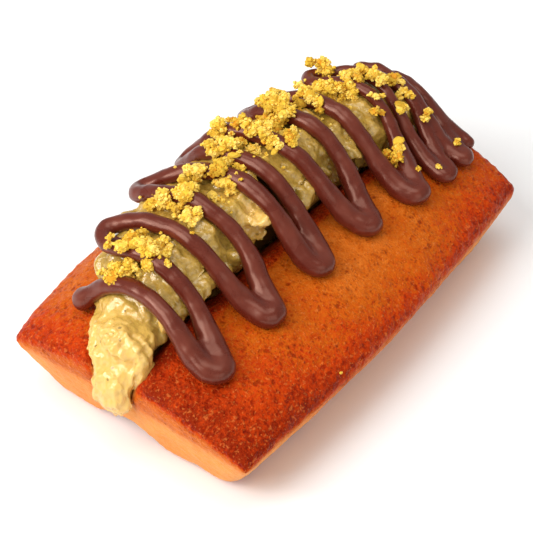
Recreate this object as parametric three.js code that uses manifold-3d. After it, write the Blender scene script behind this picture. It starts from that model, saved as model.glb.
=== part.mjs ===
// A filled financier: an almond sponge bar slit along its top, pistachio cream heaped in the slit,
// one chocolate zigzag piped across the cream and the sponge, and pistachio crumble on the chocolate.
// Millimetres, +Z up, X along the bar. The origin is on the table under the middle of the bar.
import * as THREE from "three";
import { mergeVertices } from "three/addons/utils/BufferGeometryUtils.js";
import Module from "manifold-3d";

// Sponge bar
const RIM_LENGTH = 92;
const RIM_HEIGHT = 13.5;
const NARROW_CORNER = 25.8; // from the middle to a corner of the rim, on the narrow half of the bar
const NARROW_BOW = 4; // swell of that long side at its middle
const NARROW_BOW_POWER = 4.7; // the higher, the nearer to the corners it begins
const WIDE_CORNER = 26.8; // the same on the wide half
const WIDE_TAPER = 1.1; // which is wider at the near end than at the far end
const WIDE_BOW = 2.8;
const WIDE_BOW_POWER = 1.9;
const END_BOW = 0.6;
const BASE_LENGTH = 83;
const BASE_WIDTH = 43;
const BASE_BOW = 0.8;
const WALL_POWER = 1.25; // 1 is a straight wall, more is a bulging one
const FOOT_ROUND = 1.1;
const FOOT_SHARE = 0.09; // of the wall's height
const RIM_NOSE = 1.3;
const NOSE_SHARE = 0.1; // of the wall's height
const CORNER_EAR = 0.4; // the corners of the rim are drawn out
const BASE_CORNER_ROUND = 1.4; // and those of the base are rounded off
const CORNER_POWER = 16; // the higher, the nearer to a corner its form begins
const END_ARCH = 5; // rise of the top over the rim at each end
const MIDDLE_DOME = 8.6; // rise of the top over the rim at mid-length
const DOME_POWER = 2.8;
const TOP_UNEVENNESS = 0.3;
const TOP_WAVE = 5.7;
const FOLD_RISE = 3.1; // the underside lifts along the fold below the slit
const FOLD_HALF_WIDTH = 9;
const FOLD_OFFSET = -1.6; // from the middle of the slit

// Slit along the top, drawn a little off centre by hand
const SLIT_FLOOR = 9.5;
const SLIT_ROOT_WIDTH = 5.2;
const SLIT_SPREAD = 0.4; // widening for each millimetre of height
const SLIT_FLARE = 0.065; // extra widening of each side for each square millimetre of height
const SLIT_FLARE_FROM = 14;
const SLIT_LEVELS = 6;
const SLIT_NEAR_OFFSET = 1.9;
const SLIT_FAR_OFFSET = 0.2;
const SLIT_BOW = 4.3;
const SLIT_NEAR_POWER = 5; // the higher, the nearer to the end the slit leaves its line
const SLIT_FAR_POWER = 2.2;

// Pistachio cream
const CREAM_REACH = 47.4; // half length, past the ends of the bar
const CREAM_END_TOP = 15.5;
const CREAM_HEAP_RISE = 14.2;
const CREAM_NEAR_POWER = 2.4; // the heap climbs slowly from the near end
const CREAM_FAR_POWER = 3.6; // and falls steeply at the far end
const CREAM_STEP_RISE = 3.5; // the heap steps up behind the tongue that runs over the near end
const CREAM_STEP_FROM = -37;
const CREAM_STEP_TO = -28;
const CREAM_WIDTH_POWER = 3;
const CREAM_END_HALF_WIDTH = 4.3;
const CREAM_WIDE_SIDE_EXTRA = 3; // swell over the wide half of the bar
const CREAM_WIDE_ROUNDNESS = 2.2; // 2 is a round shoulder, more is a boxy one
const CREAM_NARROW_SIDE_EXTRA = 9.8; // swell over the narrow half
const CREAM_NARROW_ROUNDNESS = 3.5;
const CREAM_BOXY_FROM = -32; // the stretch along the bar with a boxy shoulder
const CREAM_BOXY_TO = 5;
const CREAM_BOXY_FADE_NEAR = 6; // and how fast it gives way to a round one
const CREAM_BOXY_FADE_FAR = 15;
const CREAM_BELLY = 24.5; // height of the widest level of the heap
const CREAM_LIP = 18.5; // height where the heap starts to swell over the slit
const CREAM_SHOULDER = 5; // least height of the heap over its widest level
const CREAM_UNDERCUT = 2.4; // hollow between the heap and the lip of the slit, on the wide half
const CREAM_HOLLOW_FLOOR = 13;
const CREAM_HOLLOW_FULL = 17;
const CREAM_ROOT_GAP = 0.4;
const CREAM_SPREAD = 0.8; // beyond the slit where the cream runs out over the ends of the bar
const CREAM_END_TAPER = 0.5;
const CREAM_END_POWER = 100; // the higher, the nearer to an end its taper begins
const CREAM_CRAG = 0.7;
const CREAM_CRAG_LENGTH = 2.3;
const CREAM_LUMP = 0.5; // unevenness of the heap's height and width
const CREAM_LUMP_LENGTH = 4.2;

// Chocolate zigzag, from the near end to the far end
const STRAND_HALF_WIDTH = 1.8;
const STRAND_HALF_HEIGHT = 1.5;
const TIP_SWELL = 1.3; // the bead runs thicker towards the loops on the wide half
const STRAND_SAG = 0.07; // drop of the free bead between neighbouring points
const LOOP_SAG = 0.22; // the same in the loops, which lie flat
const TURN_SAG = 1; // the same in the turns, which hang down behind the heap
const STRAND_POINTS = 360;
const LEG_RINGS = 11;
const STRAND_SIDES = 8;
const BEND_RINGS = 3; // rings in the bends for each one on the legs
const LOOPS = [
  { x: -35.4, tip: -14.6, halfGap: 2, legs: [-34.6, -29.7], turn: [-27.4, 17.9] },
  { x: -20, tip: -14.2, halfGap: 1.9, legs: [-22.5, -14.7], turn: [-13.6, 21.3] },
  { x: -4.6, tip: -14, halfGap: 1.8, legs: [-5.2, -0.3], turn: [0.8, 22] },
  { x: 9.9, tip: -14.6, halfGap: 1.9, legs: [6.4, 15.2], turn: [16.6, 19.4] },
  { x: 23.5, tip: -16.2, halfGap: 1.8, legs: [22.8, 30.6], turn: [30.8, 15] },
  { x: 32.9, tip: -17.4, halfGap: 1.4, legs: [36.6, 39.6], turn: [39.6, 10] },
  { x: 39.2, tip: -17.2, halfGap: 1.1, legs: [41.6, 43.4], turn: [43.6, 4] },
]; // place and reach on the wide half, gap there, places of the legs on the crest, and the turn after them
const CREST_FROM = -4; // the stretch where the legs run straight across
const CREST_TO = 6;
const TURN_HALF_GAP = 2.7; // most half distance between the two legs of a turn
const LAST_TURN_HALF_GAP = 0.5;
const BEND_DEPTH = 3; // from the end of a bend to where its legs begin
const ZIGZAG_START = [-36.9, 17.5];
const ZIGZAG_END = [43.4, -16];
const FAR_SLIMNESS = 0.78; // the far loops are piped closer and thinner
const FAR_LOOPS_FROM = 24;
const FAR_LOOPS_TO = 34;

// Pistachio crumble: heaps with their place along and across the bar, their spread and their count
const CRUMB_HEAPS = [
  { x: -30, y: 8, spread: 4, count: 8 },
  { x: -16, y: 10, spread: 4, count: 8 },
  { x: 1, y: 11, spread: 4, count: 10 },
  { x: 8, y: 14, spread: 3, count: 5 },
  { x: 13, y: 10, spread: 4, count: 8 },
  { x: 22, y: 9, spread: 5, count: 10 },
  { x: 33, y: 4, spread: 4, count: 5 },
  { x: 27, y: -10, spread: 1, count: 2 },
];
const CRUMB_LARGEST = 2.5;
const CRUMB_SMALLEST = 1.3;
const CRUMB_KNOB = 0.22; // unevenness, as a share of the radius
const CRUMB_SEED = 20;

const CLEARANCE = 0.36; // between pieces that touch

const { clamp, lerp, smoothstep } = THREE.MathUtils;
const wasm = await Module();
wasm.setup();

function seeded(seed) {
  let state = seed;
  return () => {
    state = (state * 1664525 + 1013904223) % 4294967296;
    return state / 4294967296;
  };
}

// One surface without the seams that a geometry class leaves.
function weld(geometry) {
  geometry.deleteAttribute("normal");
  geometry.deleteAttribute("uv");
  return mergeVertices(geometry, 1e-4);
}

function solidOf(geometry) {
  const welded = weld(geometry);
  return new wasm.Manifold(
    new wasm.Mesh({
      numProp: 3,
      vertProperties: new Float32Array(welded.attributes.position.array),
      triVerts: new Uint32Array(welded.index.array),
    }),
  );
}

function meshOf(name, solid, material) {
  const result = solid.getMesh();
  const geometry = new THREE.BufferGeometry();
  geometry.setAttribute("position", new THREE.BufferAttribute(new Float32Array(result.vertProperties), 3));
  geometry.setIndex(new THREE.BufferAttribute(new Uint32Array(result.triVerts), 1));
  geometry.computeVertexNormals();
  const mesh = new THREE.Mesh(geometry, material);
  mesh.name = name;
  return mesh;
}

// Moves every vertex of a plain geometry to the place that a function of the vertex returns.
function warp(geometry, place) {
  const position = geometry.attributes.position;
  const vertex = new THREE.Vector3();
  for (let i = 0; i < position.count; i += 1) {
    vertex.fromBufferAttribute(position, i);
    const moved = place(vertex, i);
    position.setXYZ(i, moved.x, moved.y, moved.z);
  }
  return geometry;
}

// The same surface moved outwards by a distance, which leaves room around a piece.
function inflate(geometry, distance) {
  const welded = weld(geometry);
  welded.computeVertexNormals();
  const outward = new THREE.Vector3();
  return warp(welded, (p, i) => {
    outward.fromBufferAttribute(welded.attributes.normal, i);
    return p.clone().addScaledVector(outward, distance);
  });
}

// Crowds evenly spaced values between -1 and 1 towards the two ends.
function crowd(s) {
  const crowding = 0.35;
  return s * (1 + crowding - crowding * s * s);
}

function slitCentre(x) {
  const u = x / (RIM_LENGTH / 2);
  const power = u < 0 ? SLIT_NEAR_POWER : SLIT_FAR_POWER;
  const line = lerp(SLIT_NEAR_OFFSET, SLIT_FAR_OFFSET, (1 + u) / 2);
  return line + SLIT_BOW * (1 - Math.abs(u) ** power);
}

// Share of the way from the foot of a wall to its rim, for a share of its height.
function wallRise(h) {
  return 1 - (1 - h) ** WALL_POWER;
}

// Half width of the rim on the narrow half of the bar (side 1 and up) or on its wide half (below 0).
function rimHalfWidth(u, side) {
  const narrow = NARROW_CORNER + NARROW_BOW * (1 - Math.abs(u) ** NARROW_BOW_POWER);
  const wide = WIDE_CORNER - WIDE_TAPER * u + WIDE_BOW * (1 - Math.abs(u) ** WIDE_BOW_POWER);
  return side > 0 ? narrow : wide;
}

function barHalfWidth(u, h, side) {
  const base = BASE_WIDTH / 2 + BASE_BOW * (1 - u * u);
  return lerp(base, rimHalfWidth(u, side), wallRise(h));
}

function barHalfLength(v, h) {
  const bow = END_BOW * (1 - v * v);
  return lerp(BASE_LENGTH, RIM_LENGTH, wallRise(h)) / 2 + bow;
}

// Rounding of the foot and of the rim, at a share of the height of the wall.
function edgeRounding(h) {
  const foot = FOOT_ROUND * Math.max(0, 1 - h / FOOT_SHARE);
  const nose = RIM_NOSE * Math.max(0, 1 - (1 - h) / NOSE_SHARE);
  return foot + nose;
}

function spongeTop(x, y) {
  const u = clamp(x / (RIM_LENGTH / 2), -1, 1);
  const v = clamp(y / rimHalfWidth(u, y), -1, 1);
  const crown = lerp(END_ARCH, MIDDLE_DOME, 1 - u ** 4);
  const unevenness = TOP_UNEVENNESS * Math.sin(x / TOP_WAVE) * Math.cos((y - 0.5 * x) / TOP_WAVE);
  return RIM_HEIGHT + crown * (1 - Math.abs(v) ** DOME_POWER) + unevenness;
}

function spongeUnderside(x, y) {
  const across = (y - slitCentre(x) - FOLD_OFFSET) / FOLD_HALF_WIDTH;
  return FOLD_RISE * Math.max(0, 1 - across * across) ** 2;
}

function spongeBar() {
  return warp(new THREE.BoxGeometry(2, 2, 2, 26, 18, 6), (p) => {
    const u = crowd(p.x);
    const v = crowd(p.y);
    const h = (crowd(p.z) + 1) / 2;
    const inset = edgeRounding(h) + lerp(BASE_CORNER_ROUND, -CORNER_EAR, h) * (u * v) ** CORNER_POWER;
    const x = u * (barHalfLength(v, h) - inset);
    const y = v * (barHalfWidth(u, h, v) - inset);
    return new THREE.Vector3(x, y, lerp(spongeUnderside(x, y), spongeTop(x, y), h));
  });
}

// The slit's sides flare out towards the top, where the crust rolls over its edges.
function slitHalfWidth(z) {
  const flare = SLIT_FLARE * Math.max(0, z - SLIT_FLARE_FROM) ** 2;
  return (SLIT_ROOT_WIDTH + SLIT_SPREAD * (z - SLIT_FLOOR)) / 2 + flare;
}

function slitWedge(shrink) {
  const top = RIM_HEIGHT + MIDDLE_DOME + 3;
  const side = [];
  for (let level = 0; level <= SLIT_LEVELS; level += 1) {
    const z = lerp(SLIT_FLOOR + shrink, top, level / SLIT_LEVELS);
    side.push(new THREE.Vector2(slitHalfWidth(z) - shrink, z));
  }
  const mirrored = side.map((p) => new THREE.Vector2(-p.x, p.y)).reverse();
  const outline = new THREE.Shape([...side, ...mirrored]);
  const length = RIM_LENGTH + 20;
  const wedge = new THREE.ExtrudeGeometry(outline, { depth: length, steps: 24, bevelEnabled: false });
  return warp(wedge, (p) => {
    const x = p.z - length / 2;
    return new THREE.Vector3(x, p.x + slitCentre(x), p.y);
  });
}

function spongeSolid(room) {
  return solidOf(inflate(spongeBar(), room)).subtract(solidOf(slitWedge(room)));
}

// Swell of the heap along the bar: none at its ends, 1 at mid-length.
function heapSwell(x, power) {
  return 1 - Math.min(Math.abs(x) / CREAM_REACH, 1) ** power;
}

function heapTop(x) {
  const lump = CREAM_LUMP * Math.sin(x / CREAM_LUMP_LENGTH);
  const swell = heapSwell(x, x < 0 ? CREAM_NEAR_POWER : CREAM_FAR_POWER);
  const step = CREAM_STEP_RISE * smoothstep(x, CREAM_STEP_FROM, CREAM_STEP_TO);
  return CREAM_END_TOP + CREAM_HEAP_RISE * Math.sqrt(swell) + step + lump;
}

// Half width of the heap over the narrow half of the bar (side 1) or over the wide half (side -1).
function heapHalfWidth(x, side) {
  const swell = heapSwell(x, CREAM_WIDTH_POWER);
  const wide = CREAM_WIDE_SIDE_EXTRA * Math.sqrt(swell);
  const narrow = CREAM_NARROW_SIDE_EXTRA * swell;
  const lump = CREAM_LUMP * Math.cos(x / CREAM_LUMP_LENGTH);
  return CREAM_END_HALF_WIDTH + (side > 0 ? narrow : wide) + lump;
}

function bellyHeight(x) {
  return Math.min(CREAM_BELLY, heapTop(x) - CREAM_SHOULDER);
}

// The rounded outline of the heap's shoulder: 1 at its widest level, 0 at its crest, or the other way round.
function shoulder(share, x, side) {
  const near = smoothstep(-x, -CREAM_BOXY_FROM, CREAM_BOXY_FADE_NEAR - CREAM_BOXY_FROM);
  const far = smoothstep(x, CREAM_BOXY_TO, CREAM_BOXY_TO + CREAM_BOXY_FADE_FAR);
  const narrow = lerp(CREAM_NARROW_ROUNDNESS, CREAM_WIDE_ROUNDNESS, Math.max(near, far));
  const roundness = side > 0 ? narrow : CREAM_WIDE_ROUNDNESS;
  return (1 - share ** roundness) ** (1 / roundness);
}

function creamHalfWidth(x, z, side) {
  const level = bellyHeight(x);
  const along = 1 - Math.min(Math.abs(x) / CREAM_REACH, 1) ** 12;
  const hollow = side < 0 ? CREAM_UNDERCUT * along * smoothstep(z, CREAM_HOLLOW_FLOOR, CREAM_HOLLOW_FULL) : 0;
  const wedge = slitHalfWidth(z) + CREAM_SPREAD - hollow;
  const swollen = lerp(wedge, heapHalfWidth(x, side), smoothstep(z, CREAM_LIP, CREAM_BELLY));
  const rise = clamp((z - level) / (heapTop(x) - level), 0, 1);
  return swollen * shoulder(rise, x, side);
}

function creamTop(x, y) {
  const aside = y - slitCentre(x);
  const across = Math.abs(aside) / heapHalfWidth(x, aside);
  if (across >= 1 || Math.abs(x) >= CREAM_REACH) {
    return 0;
  }
  const level = bellyHeight(x);
  return level + (heapTop(x) - level) * shoulder(across, x, aside);
}

function creamBody() {
  const roll = new THREE.CylinderGeometry(1, 1, 2, 26, 34);
  return warp(roll, (p) => {
    const u = crowd(p.y);
    const along = u * CREAM_REACH;
    const turn = Math.atan2(p.x, p.z); // 0 at the root of the slit, a half turn at the crest
    const spread = Math.hypot(p.x, p.z) * (1 - CREAM_END_TAPER * u ** CREAM_END_POWER);
    const floor = SLIT_FLOOR + CREAM_ROOT_GAP;
    const share = (1 - Math.cos(turn)) / 2;
    const skin = lerp(floor, heapTop(along), share);
    const z = lerp(lerp(floor, heapTop(along), 0.4), skin, spread);
    const wave = along / CREAM_CRAG_LENGTH;
    const crag = CREAM_CRAG * Math.sin(wave + 2 * turn) * Math.cos(0.6 * wave - 3 * turn);
    const relief = crag * smoothstep(z, CREAM_LIP, CREAM_BELLY) * (1 - u ** 8);
    const closure = clamp((share < 0.5 ? 2.2 : 6) * Math.sin(turn), -1, 1);
    const half = (creamHalfWidth(along, skin, closure) + relief) * spread * closure;
    const wall = barHalfLength(0, clamp(z / RIM_HEIGHT, 0, 1)) - barHalfLength(0, 1);
    return new THREE.Vector3(u * (CREAM_REACH + wall), slitCentre(along) + half, z);
  });
}

function ground(x, y) {
  return Math.max(spongeTop(x, y), creamTop(x, y));
}

// The zigzag seen from above: narrow loops on the wide half of the bar and round turns on the narrow half.
function zigzagPlan() {
  const points = [ZIGZAG_START];
  const bend = (x, y, halfGap, inwards) => {
    points.push([x - halfGap, y + BEND_DEPTH * inwards]);
    points.push([x, y]);
    points.push([x + halfGap, y + BEND_DEPTH * inwards]);
  };
  LOOPS.forEach((loop, i) => {
    const [before, after] = loop.legs;
    const next = LOOPS[i + 1];
    const turnHalfGap = next ? Math.min(TURN_HALF_GAP, (next.legs[0] - after) / 2) : LAST_TURN_HALF_GAP;
    points.push([before, CREST_TO], [before, CREST_FROM]);
    bend(loop.x, loop.tip, loop.halfGap, 1);
    points.push([after, CREST_FROM]);
    if (next) {
      points.push([after, CREST_TO]);
    }
    bend(loop.turn[0], loop.turn[1], turnHalfGap, -1);
  });
  points.push(ZIGZAG_END);
  return new THREE.SplineCurve(points.map(([x, y]) => new THREE.Vector2(x, y)));
}

// How far a point is into a bend of the zigzag: 0 on the legs, 1 at the end of a loop or of a turn.
function bendShare(y) {
  return Math.max(smoothstep(-y, 6, 11), smoothstep(y, 13, 17));
}

function slimness(x) {
  return lerp(1, FAR_SLIMNESS, smoothstep(x, FAR_LOOPS_FROM, FAR_LOOPS_TO));
}

// The bead's centre line: it rests on what is below it and spans the hollows.
function zigzagCurve() {
  const plan = zigzagPlan().getSpacedPoints(STRAND_POINTS);
  const floor = plan.map((p, i) => {
    const next = plan[Math.min(i + 1, STRAND_POINTS)];
    const last = plan[Math.max(i - 1, 0)];
    const aside = next.clone().sub(last).normalize().multiplyScalar(0.8 * STRAND_HALF_WIDTH);
    const highest = Math.max(
      ground(p.x, p.y),
      ground(p.x - aside.y, p.y + aside.x),
      ground(p.x + aside.y, p.y - aside.x),
    );
    return highest + STRAND_HALF_HEIGHT + CLEARANCE;
  });
  const height = [...floor];
  for (let pass = 0; pass < 200; pass += 1) {
    for (let i = 1; i < STRAND_POINTS; i += 1) {
      const bendSag = plan[i].y < 0 ? LOOP_SAG : TURN_SAG;
      const sag = lerp(STRAND_SAG, bendSag, bendShare(plan[i].y));
      height[i] = Math.max(floor[i], (height[i - 1] + height[i + 1]) / 2 - sag);
    }
  }
  const curve = new THREE.CatmullRomCurve3(plan.map((p, i) => new THREE.Vector3(p.x, p.y, height[i])));
  curve.arcLengthDivisions = 4 * STRAND_POINTS;
  return curve;
}

// Places along the curve where the bead turns back, with its two ends.
function turningPlaces(curve) {
  const samples = curve.getSpacedPoints(2 * STRAND_POINTS);
  const places = [0];
  for (let i = 1; i < samples.length - 1; i += 1) {
    const coming = samples[i].y - samples[i - 1].y;
    const going = samples[i + 1].y - samples[i].y;
    if (coming * going <= 0) {
      places.push(i / (2 * STRAND_POINTS));
    }
  }
  return [...places, 1];
}

// Places along one leg for its rings, closer in the bends than between them.
function ringPlaces(curve, from, to) {
  const steps = 10 * LEG_RINGS;
  const places = [];
  const travelled = [];
  let sum = 0;
  for (let i = 0; i <= steps; i += 1) {
    places.push(lerp(from, to, i / steps));
    travelled.push(sum);
    sum += lerp(1, BEND_RINGS, bendShare(curve.getPointAt(places[i]).y));
  }
  const rings = [];
  for (let ring = 0; ring <= LEG_RINGS; ring += 1) {
    const wanted = (travelled[steps] * ring) / LEG_RINGS;
    rings.push(places[travelled.findIndex((length) => length >= wanted - 1e-9)]);
  }
  return rings;
}

// One leg of the bead. It runs straight into the narrow bends and has a round end in each.
function zigzagLeg(curve, from, to) {
  const capsule = new THREE.CapsuleGeometry(1, 2, 2, STRAND_SIDES, LEG_RINGS);
  capsule.rotateY(Math.PI / STRAND_SIDES);
  const places = ringPlaces(curve, from, to);
  const upward = new THREE.Vector3(0, 0, 1);
  const heading = new THREE.Vector3(0, Math.sign(curve.getPointAt(to).y - curve.getPointAt(from).y), 0);
  return warp(capsule, (p) => {
    const t = places[Math.round(clamp((p.y + 1) / 2, 0, 1) * LEG_RINGS)];
    const past = p.y - clamp(p.y, -1, 1);
    const centre = curve.getPointAt(t);
    const swell = lerp(1, TIP_SWELL, smoothstep(-centre.y, 2, 11)) * slimness(centre.x);
    const narrow = Math.max(smoothstep(-centre.y, 7, 10), smoothstep(centre.x, FAR_LOOPS_FROM, FAR_LOOPS_TO));
    const along = curve.getTangentAt(t).lerp(heading, narrow).normalize();
    const aside = new THREE.Vector3().crossVectors(along, upward).normalize();
    const above = new THREE.Vector3().crossVectors(aside, along);
    return centre
      .addScaledVector(along, past * STRAND_HALF_WIDTH)
      .addScaledVector(aside, p.x * STRAND_HALF_WIDTH * swell)
      .addScaledVector(above, p.z * STRAND_HALF_HEIGHT);
  });
}

function zigzagBead(curve) {
  const ends = turningPlaces(curve);
  const legs = ends.slice(1).map((to, i) => solidOf(zigzagLeg(curve, ends[i], to)));
  return legs.reduce((joined, leg) => joined.add(leg));
}

function crumb(radius, random) {
  const squash = lerp(0.7, 1, random());
  const swing = lerp(0, Math.PI, random());
  const lump = new THREE.IcosahedronGeometry(radius, 0);
  return warp(lump, (p) => {
    const knob = 1 + CRUMB_KNOB * Math.sin(2 * p.x + 3 * p.y + swing) * Math.cos(3 * p.z - swing);
    return new THREE.Vector3(p.x * knob, p.y * knob * squash, p.z * knob);
  });
}

// Each crumb of a heap lies on top of the nearest stretch of the zigzag.
function crumbSolids(curve) {
  const random = seeded(CRUMB_SEED);
  const rests = curve.getSpacedPoints(2 * STRAND_POINTS);
  const solids = [];
  for (const heap of CRUMB_HEAPS) {
    for (let i = 0; i < heap.count; i += 1) {
      const x = heap.x + heap.spread * lerp(-1, 1, random());
      const y = heap.y + heap.spread * lerp(-1, 1, random());
      const distance = (p) => Math.hypot(p.x - x, p.y - y);
      const rest = rests.reduce((best, p) => (distance(p) < distance(best) ? p : best));
      const lump = crumb(lerp(CRUMB_LARGEST, CRUMB_SMALLEST, i / heap.count), random);
      lump.translate(rest.x, rest.y, rest.z + 0.9 * STRAND_HALF_HEIGHT);
      solids.push(solidOf(lump));
    }
  }
  return solids;
}

function chocolateSolid() {
  const curve = zigzagCurve();
  let solid = zigzagBead(curve);
  for (const lump of crumbSolids(curve)) {
    solid = solid.add(lump);
  }
  return solid.subtract(solidOf(inflate(creamBody(), CLEARANCE))).subtract(spongeSolid(CLEARANCE));
}

const spongeLook = new THREE.MeshStandardMaterial({ color: 0xb5561f, roughness: 0.75, metalness: 0 });
const creamLook = new THREE.MeshStandardMaterial({ color: 0xd9c46a, roughness: 0.4, metalness: 0 });
const chocolateLook = new THREE.MeshStandardMaterial({ color: 0x5a2e22, roughness: 0.35, metalness: 0 });

const cake = new THREE.Group();
cake.name = "financier_cake";
cake.add(meshOf("sponge", spongeSolid(0), spongeLook));
cake.add(meshOf("cream", solidOf(creamBody()).subtract(spongeSolid(CLEARANCE)), creamLook));
cake.add(meshOf("chocolate", chocolateSolid(), chocolateLook));

export default cake;
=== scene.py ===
"""A filled financier cake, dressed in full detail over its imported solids.

The almond sponge, the pistachio cream and the piped chocolate with its crumble take the place of
their solids. Metres, +Z up, X along the bar, +Y towards the narrow half of the top.
"""

import logging
import math
import random
from dataclasses import dataclass, field
from enum import Enum
from typing import Any, Callable, Sequence, Union

import bpy
import numpy as np
from mathutils import Euler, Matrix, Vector
from mathutils.bvhtree import BVHTree


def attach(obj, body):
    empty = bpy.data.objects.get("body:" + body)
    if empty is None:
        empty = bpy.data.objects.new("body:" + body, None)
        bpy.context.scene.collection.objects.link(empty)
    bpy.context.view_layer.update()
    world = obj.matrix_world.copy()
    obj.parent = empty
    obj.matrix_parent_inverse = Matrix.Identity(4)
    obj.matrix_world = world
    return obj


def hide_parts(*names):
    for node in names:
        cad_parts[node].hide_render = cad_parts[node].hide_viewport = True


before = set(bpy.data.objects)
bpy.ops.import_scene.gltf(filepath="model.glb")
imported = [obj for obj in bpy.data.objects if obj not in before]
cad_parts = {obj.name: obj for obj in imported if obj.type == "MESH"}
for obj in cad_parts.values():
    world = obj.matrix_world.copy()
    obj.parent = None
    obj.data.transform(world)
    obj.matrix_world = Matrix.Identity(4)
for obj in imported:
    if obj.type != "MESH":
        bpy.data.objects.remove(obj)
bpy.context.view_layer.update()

MM = 0.001
LOG = logging.getLogger("financier")
FULL_TURN = 6.28  # radians, as near as the crumbs need it
DROP_HEIGHT = 0.1  # where the rays that feel for a surface start
DOWN = Vector((0, 0, -1))
Piece = bpy.types.Object
Material = bpy.types.Material
Array = np.ndarray
Span = tuple[float, float]
Triple = tuple[float, float, float]
Colour = tuple[float, float, float, float]
Operand = Union["Signal", float]


class Slot(Enum):
    """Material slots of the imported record."""

    SPONGE = "sponge"
    CREAM = "cream"
    CHOCOLATE = "chocolate"
    CRUMBLE = "crumble"


class Grain(Enum):
    """Kinds of unevenness that a surface can be given."""

    CLOUDS = "CLOUDS"
    CELLS = "VORONOI"


def pigment(red: int, green: int, blue: int) -> Colour:
    """Turns a colour as a screen shows it, from 0 to 255, into the linear one that a shader takes."""
    shown = np.array([red, green, blue]) / 255
    return (*np.where(shown <= 0.04045, shown / 12.92, ((shown + 0.055) / 1.055) ** 2.4).tolist(), 1.0)


def fade(values: Array, low: float, high: float) -> Array:
    """Rises smoothly from 0 to 1 between two levels, or falls where the first is the higher."""
    share = np.clip((values - low) / (high - low), 0, 1)
    return share * share * (3 - 2 * share)


def select_only(piece: Piece) -> None:
    """Deselects everything else and makes the piece active."""
    bpy.ops.object.select_all(action="DESELECT")
    piece.select_set(True)
    bpy.context.view_layer.objects.active = piece


def apply_modifier(piece: Piece, kind: str, **settings: Any) -> None:
    """Adds a modifier to a piece, sets it up and applies it.

    Args:
        piece: The piece to change.
        kind: The modifier's type.
        settings: The modifier's own settings.
    """
    select_only(piece)
    bpy.ops.object.modifier_add(type=kind)
    modifier = piece.modifiers[-1]
    for key, value in settings.items():
        setattr(modifier, key, value)
    bpy.ops.object.modifier_apply(modifier=modifier.name)


def weights(where: str) -> str:
    """Names the vertex group of painted numbers, or none for all over."""
    return where + "_weight" if where else ""


def even_out(piece: Piece, passes: int, where: str = "") -> None:
    """Evens a piece's surface out, all over or where it was painted."""
    apply_modifier(piece, "SMOOTH", factor=0.5, iterations=passes, vertex_group=weights(where))


def reskin(piece: Piece, voxel: float, passes: int) -> None:
    """Turns a piece into one closed skin of even faces, of a size in millimetres, and smooths it."""
    apply_modifier(piece, "REMESH", mode="VOXEL", voxel_size=voxel * MM)
    even_out(piece, passes)


def shade_smooth(piece: Piece) -> None:
    """Shades a piece without facets."""
    select_only(piece)
    bpy.ops.object.shade_smooth()


def copy_of_node(node: str, name: str) -> Piece:
    """Copies a solid of the frame into a new piece with its loose triangles merged.

    Args:
        node: The solid's name.
        name: The new piece's name.

    Returns:
        The new piece.
    """
    piece = bpy.data.objects.new(name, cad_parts[node].data.copy())
    bpy.context.scene.collection.objects.link(piece)
    select_only(piece)
    bpy.ops.object.mode_set(mode="EDIT")
    bpy.ops.mesh.select_all(action="SELECT")
    bpy.ops.mesh.remove_doubles(threshold=0.001 * MM)
    bpy.ops.object.mode_set(mode="OBJECT")
    return piece


def points_of(piece: Piece) -> Array:
    """Reads a piece's vertices as rows of x, y and z in metres."""
    places = np.empty(len(piece.data.vertices) * 3)
    piece.data.vertices.foreach_get("co", places)
    return places.reshape(-1, 3)


def paint(piece: Piece, name: str, values: Array) -> None:
    """Writes a number for each vertex, for the finishes to read and for modifiers to follow.

    Args:
        piece: The piece to write on.
        name: The name of the attribute and of the vertex group.
        values: One number from 0 to 1 for each vertex.
    """
    attribute = piece.data.attributes.new(name, "FLOAT", "POINT")
    attribute.data.foreach_set("value", values.astype(np.float32))
    group = piece.vertex_groups.new(name=weights(name))
    for index in np.flatnonzero(values > 0.001):
        group.add([int(index)], float(values[index]), "REPLACE")


def settle(piece: Piece, material: Material, node: str) -> None:
    """Gives a finished piece its finish and its place in the frame.

    Args:
        piece: The finished piece.
        material: Its finish.
        node: The solid that it stands for.
    """
    piece.vertex_groups.clear()
    piece.data.materials.clear()
    piece.data.materials.append(material)
    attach(piece, "root")
    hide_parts(node)
    LOG.info("%s: %d faces, stands for %s", piece.name, len(piece.data.polygons), node)


def operator(kind: str, swapped: bool = False) -> Callable[["Signal", Operand], "Signal"]:
    """Makes a signal's method for one sum.

    Args:
        kind: The Math node's operation.
        swapped: Whether the signal comes second, as in a number less a signal.

    Returns:
        The method.
    """

    def method(self: "Signal", other: Operand) -> "Signal":
        """Joins the signal with a number or another signal."""
        return self.graph.math(kind, other, self) if swapped else self.graph.math(kind, self, other)

    return method


@dataclass
class Signal:
    """A shader socket that takes part in Python expressions."""

    graph: "FinishGraph"
    socket: bpy.types.NodeSocket
    __add__ = operator("ADD")
    __radd__ = operator("ADD", True)
    __sub__ = operator("SUBTRACT")
    __rsub__ = operator("SUBTRACT", True)
    __mul__ = operator("MULTIPLY")
    __rmul__ = operator("MULTIPLY", True)


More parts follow.
